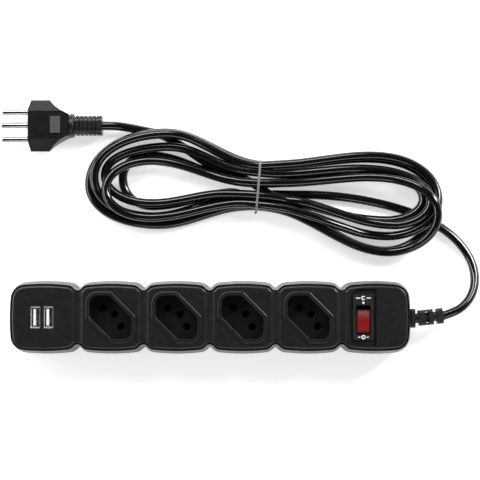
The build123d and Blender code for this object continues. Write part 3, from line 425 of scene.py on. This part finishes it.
NOISE_SPAN = (0.3, 0.7)  # where nearly all of a noise's values lie
MOULD_SPREAD = 0.12  # how far a moulding's grey strays to either side
MOULD_PATCH = 0.012
WAVE_SIZE, WAVE_DEPTH = 0.009, 0.00002
METAL_SHADE = 0.93  # the darker tone, as a share of the lighter
METAL_PATCH = 0.004
SCRATCH_SIZE, SCRATCH_DEPTH = 0.0006, 0.000004
PLASTIC_SHADE = 0.9
PLASTIC_PATCH = 0.003
PIT_SIZE, PIT_DEPTH = 0.0006, 0.000006

# The ribbed pad on the plug's face, by its two corners as seen from above, and the rocker's face inside its
# bevel, by its centre and half sizes in shares of the rocker's box. Around that face the rocker keeps its
# darker base red, which is painted shade on its bevels, and the face itself is painted a lighter red.
PAD_LOW, PAD_HIGH = (-110.6, 127.1), (-103.8, 138.5)
PAD_GREY = 0.09
ROCKER_UNSHADED_FACE = (0.5, 0.5), (0.35, 0.41)
ROCKER_UNSHADED_FACE_RED = (0.24, 0.007, 0.003, 1)


def colour(grey, tint=0.0):
    """A neutral colour, turned slightly blue by a tint above 0."""
    return (grey, grey, grey * (1 + tint), 1)


class Finish:
    """A procedural material whose parts are added one by one."""

    def __init__(self, name):
        self.material = bpy.data.materials.new(name)
        self.material.use_nodes = True
        self.tree = self.material.node_tree
        self.shader = self.tree.nodes["Principled BSDF"]
        coordinates = self.node("ShaderNodeTexCoord")
        self.place = coordinates.outputs["Object"]
        self.share = coordinates.outputs["Generated"]

    def node(self, kind, **settings):
        """A new node of that kind, with those of its properties set."""
        made = self.tree.nodes.new(kind)
        for key, value in settings.items():
            setattr(made, key, value)
        return made

    def link(self, source, target):
        """Joins an output to an input."""
        self.tree.links.new(source, target)

    def noise(self, size, detail=3, stretch=(1, 1, 1)):
        """Noise whose grains are size across. A stretch under 1 draws them out along that axis."""
        mapping = self.node("ShaderNodeMapping")
        mapping.inputs["Scale"].default_value = [value / size for value in stretch]
        self.link(self.place, mapping.inputs["Vector"])
        noise = self.node("ShaderNodeTexNoise")
        noise.inputs["Scale"].default_value = 1
        noise.inputs["Detail"].default_value = detail
        self.link(mapping.outputs["Vector"], noise.inputs["Vector"])
        return noise.outputs["Fac"]

    def ramp(self, source, low, high):
        """Noise turned into a value from low to high."""
        ramp = self.node("ShaderNodeMapRange")
        ramp.inputs["From Min"].default_value, ramp.inputs["From Max"].default_value = NOISE_SPAN
        ramp.inputs["To Min"].default_value = low
        ramp.inputs["To Max"].default_value = high
        self.link(source, ramp.inputs["Value"])
        return ramp.outputs["Result"]

    def two_tone(self, source, first, second):
        """The first colour where source is 0, through to the second where it is 1."""
        mix = self.node("ShaderNodeMix", data_type="RGBA")
        mix.inputs["A"].default_value = first
        mix.inputs["B"].default_value = second
        self.link(source, mix.inputs["Factor"])
        return mix.outputs["Result"]

    def patch(self, centre, half):
        """1 in a rectangle seen from above and 0 around it, all in shares of the piece's own box."""
        split = self.node("ShaderNodeSeparateXYZ")
        self.link(self.share, split.inputs[0])
        both = self.node("ShaderNodeMath", operation="MULTIPLY")
        for axis in range(2):
            near = self.node("ShaderNodeMath", operation="COMPARE")
            self.link(split.outputs[axis], near.inputs[0])
            near.inputs[1].default_value = centre[axis]
            near.inputs[2].default_value = half[axis]
            self.link(near.outputs[0], both.inputs[axis])
        return both.outputs[0]

    def overlay(self, mask, tone):
        """Lays tone over the base colour where mask is 1."""
        target = self.shader.inputs["Base Color"]
        mix = self.node("ShaderNodeMix", data_type="RGBA")
        self.link(target.links[0].from_socket, mix.inputs["A"])
        mix.inputs["B"].default_value = tone
        self.link(mask, mix.inputs["Factor"])
        self.link(mix.outputs["Result"], target)

    def roughness(self, low, high, size=0.004):
        """A roughness that varies from low to high."""
        self.link(self.ramp(self.noise(size), low, high), self.shader.inputs["Roughness"])

    def base(self, first, second, size=0.006):
        """A base colour that varies between two."""
        self.link(self.two_tone(self.noise(size, 4), first, second), self.shader.inputs["Base Color"])

    def bump(self, source, depth):
        """Raises the surface by up to depth where source is high, on top of any bump added before."""
        bump = self.node("ShaderNodeBump")
        bump.inputs["Strength"].default_value = 1
        bump.inputs["Distance"].default_value = depth
        before = self.shader.inputs["Normal"].links
        if before:
            self.link(before[0].from_socket, bump.inputs["Normal"])
        self.link(source, bump.inputs["Height"])
        self.link(bump.outputs["Normal"], self.shader.inputs["Normal"])

    def set(self, **values):
        """Sets inputs of the shader, with underscores for the spaces in their names."""
        for key, value in values.items():
            self.shader.inputs[key.replace("_", " ")].default_value = value


def moulded(name, grey, tint, low, high, grain=0.00035, depth=0.000012):
    """Moulded plastic or rubber of a roughness from low to high: a fine eroded grain over slow waves."""
    finish = Finish(name)
    finish.base(colour(grey * (1 - MOULD_SPREAD), tint), colour(grey * (1 + MOULD_SPREAD), tint), MOULD_PATCH)
    finish.roughness(low, high)
    finish.bump(finish.noise(grain, 2), depth)
    finish.bump(finish.noise(WAVE_SIZE, 2), WAVE_DEPTH)
    return finish


def metal(name, tone, low, high, stretch=(1, 1, 1)):
    """Plated or bare metal of a roughness from low to high, its grain drawn out along its least stretch."""
    finish = Finish(name)
    finish.base((*(value * METAL_SHADE for value in tone), 1), (*tone, 1), METAL_PATCH)
    finish.set(Metallic=1.0)
    grain = finish.noise(SCRATCH_SIZE, 3, stretch)
    finish.link(finish.ramp(grain, low, high), finish.shader.inputs["Roughness"])
    finish.bump(grain, SCRATCH_DEPTH)
    return finish


def coloured(name, tone, low, high):
    """Smooth plastic or lacquer of a roughness from low to high, with a faint unevenness."""
    finish = Finish(name)
    finish.base((*(value * PLASTIC_SHADE for value in tone), 1), (*tone, 1), PLASTIC_PATCH)
    finish.roughness(low, high)
    finish.bump(finish.noise(PIT_SIZE, 2), PIT_DEPTH)
    return finish


def share_of(box, low, high):
    """The centre and half sizes of a rectangle in millimetres, as shares of a box in metres."""
    centre, half = [], []
    for axis in range(2):
        size = (box[1][axis] - box[0][axis]) / MM
        centre.append(((low[axis] + high[axis]) / 2 - box[0][axis] / MM) / size)
        half.append((high[axis] - low[axis]) / 2 / size)
    return centre, half


def make_finishes():
    """One material for each slot of the record, and for the pieces whose finish differs from their slot's."""
    made = {
        "housing": moulded("housing_plastic", 0.005, 0.15, 0.33, 0.41),
        "outlet_floor": moulded("outlet_floor_plastic", 0.003, 0.05, 0.4, 0.5, 0.0005, 0.00003),
        "label_plate": moulded("label_plate_plastic", 0.01, 0.02, 0.36, 0.44),
        "cord": moulded("cord_sheath", 0.0015, 0.05, 0.13, 0.17, 0.0009, 0.000004),
        "plug": moulded("plug_rubber", 0.005, 0.1, 0.34, 0.42),
        "pins": metal("nickel_pins", (0.42, 0.42, 0.41), 0.05, 0.08, (0.1, 1, 1)),
        "usb_steel": metal("usb_shell_steel", (0.74, 0.74, 0.75), 0.22, 0.36, (1, 0.1, 1)),
        "usb_white": coloured("usb_white_plastic", (0.86, 0.86, 0.84), 0.3, 0.4),
        "brass": metal("stamped_brass", (0.78, 0.6, 0.3), 0.25, 0.4),
        "spring_steel": metal("spring_wire", (0.55, 0.55, 0.55), 0.3, 0.4),
        "screw_steel": metal("screw_steel", (0.6, 0.6, 0.6), 0.25, 0.4),
        "board": coloured("board_laminate", (0.03, 0.2, 0.09), 0.3, 0.5),
        "component": coloured("component_case", (0.1, 0.12, 0.2), 0.4, 0.6),
        "wire_brown": coloured("brown_core", (0.12, 0.05, 0.025), 0.35, 0.5),
        "wire_blue": coloured("blue_core", (0.02, 0.1, 0.45), 0.35, 0.5),
        "wire_green": coloured("green_core", (0.05, 0.3, 0.05), 0.35, 0.5),
        "tie": coloured("tie_strip", (0.17, 0.17, 0.175), 0.3, 0.45),
        "rocker_red": coloured("rocker_red", (0.07, 0.003, 0.002), 0.3, 0.38),
        "lamp_glass": coloured("lamp_glass", (0.95, 0.8, 0.7), 0.05, 0.1),
        "print": coloured("white_print", (0.85, 0.85, 0.85), 0.5, 0.6),
        "plug_body": moulded("plug_face_rubber", 0.002, 0.1, 0.32, 0.4, 0.0005, 0.00003),
        "strain_relief": moulded("relief_rubber", 0.008, 0.1, 0.4, 0.5, 0.0006, 0.00004),
    }
    made["cord"].set(Specular_IOR_Level=0.65)
    made["outlet_floor"].set(Specular_IOR_Level=0.3)
    made["lamp_glass"].set(Transmission_Weight=0.9)
    face = made["plug_body"]
    face.set(Specular_IOR_Level=0.35)
    face.overlay(face.patch(*share_of(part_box("plug_body"), PAD_LOW, PAD_HIGH)), colour(PAD_GREY))
    # The rocker's bevels keep the darker base red as painted shade, and its face is laid over in a lighter
    # red.
    red = made["rocker_red"]
    red.set(Transmission_Weight=0.25, IOR=1.45)
    red.overlay(red.patch(*ROCKER_UNSHADED_FACE), ROCKER_UNSHADED_FACE_RED)
    return {key: finish.material for key, finish in made.items()}


def dress_cad_nodes():
    """Gives every CAD node its own finish, or else the finish of its slot in the record."""
    for part in frame["record"]["subparts"]:
        for holder in frame["nodes"][part["node"]].material_slots:
            holder.material = FINISHES.get(part["node"], FINISHES[part["material_slot"]])


# ---------------------------------------------------------------- the pieces

FINISHES = make_finishes()
dress_cad_nodes()

ROUTE = cord_route()
lead_cord = make_curve("lead_cord", ROUTE, CORD_DIAMETER / 2, FINISHES["cord"])
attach(lead_cord, "housing")
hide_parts("cord_lead", "cord_hank", "cord_tail")
make_tie(ROUTE, FINISHES["tie"])
make_marks(FINISHES["print"])

# ---------------------------------------------------------------- floor, light and camera

FLOOR_SIZE = 6
FLOOR_DROP = 0.0002  # below the lead, so that the two don't share a plane
FLOOR_GREYS = (0.9, 0.92)
FLOOR_PATCH = 0.4
FLOOR_ROUGHNESS = (0.85, 0.95)
FLOOR_GLOW = 0.5
SUBJECT = (0.02, 0.05, 0)
LIGHTS = [  # name, size, power and place
    ("key", (1.3, 0.28), 15, (-0.45, 0.95, 0.9)),
    ("fill", (1.4, 0.2), 5, (0.3, -0.9, 0.8)),
    ("edge", (0.25, 0.9), 18, (1.0, 0.75, 0.75)),
    ("side", (0.9, 0.2), 6, (-1.1, 0.1, 0.65)),
]
WALL_LIGHT = 0.6
CEILING_LIGHT = 0.06
CEILING_FROM = 0.7  # the rise of a direction, from 0 at the horizon to 1 overhead
CAMERA_PLACE = (0.0307, 0.0063, 1.0955)
CAMERA_AIM = (0.0202, 0.0537, 0)
CAMERA_LENS = 117.9
CAMERA_SENSOR = 36


def make_floor():
    """Pale paper that glows a little, so that its shadows stay soft."""
    bpy.ops.mesh.primitive_plane_add(size=FLOOR_SIZE, location=(0, 0, -FLOOR_DROP))
    floor = bpy.context.object
    floor.name = "floor"
    finish = Finish("paper_floor")
    finish.base(*map(colour, FLOOR_GREYS), FLOOR_PATCH)
    finish.roughness(*FLOOR_ROUGHNESS)
    finish.set(Emission_Color=(1, 1, 1, 1), Emission_Strength=FLOOR_GLOW)
    floor.data.materials.append(finish.material)


def make_light(name, size, power, place):
    """A soft panel that faces the subject."""
    data = bpy.data.lights.new(name, "AREA")
    data.shape = "RECTANGLE"
    data.size, data.size_y = size
    data.energy = power
    light = bpy.data.objects.new(name, data)
    light.location = place
    light.rotation_euler = (Vector(SUBJECT) - Vector(place)).to_track_quat("-Z", "Y").to_euler()
    bpy.context.scene.collection.objects.link(light)


def make_camera():
    """A camera nearly overhead, with the strip level in its picture."""
    data = bpy.data.cameras.new("camera")
    data.sensor_width = CAMERA_SENSOR
    data.lens = CAMERA_LENS
    camera = bpy.data.objects.new("camera", data)
    camera.location = CAMERA_PLACE
    back = (Vector(CAMERA_PLACE) - Vector(CAMERA_AIM)).normalized()
    right = Vector((0, 1, 0)).cross(back).normalized()
    camera.rotation_euler = Matrix((right, back.cross(right), back)).transposed().to_euler()
    bpy.context.scene.collection.objects.link(camera)
    bpy.context.scene.camera = camera


def make_world():
    """Pale walls all round under a dark ceiling."""
    world = bpy.data.worlds.new("studio")
    world.use_nodes = True
    nodes, links = world.node_tree.nodes, world.node_tree.links
    direction = nodes.new("ShaderNodeTexCoord")
    split = nodes.new("ShaderNodeSeparateXYZ")
    level = nodes.new("ShaderNodeMapRange")
    level.interpolation_type = "SMOOTHSTEP"
    level.inputs["From Max"].default_value = CEILING_FROM
    level.inputs["To Min"].default_value = WALL_LIGHT
    level.inputs["To Max"].default_value = CEILING_LIGHT
    links.new(direction.outputs["Generated"], split.inputs[0])
    links.new(split.outputs["Z"], level.inputs["Value"])
    links.new(level.outputs["Result"], nodes["Background"].inputs["Strength"])
    nodes["Background"].inputs["Color"].default_value = (1, 1, 1, 1)
    bpy.context.scene.world = world


make_floor()
for light in LIGHTS:
    make_light(*light)
make_world()
bpy.context.scene.view_settings.view_transform = "Standard"
make_camera()
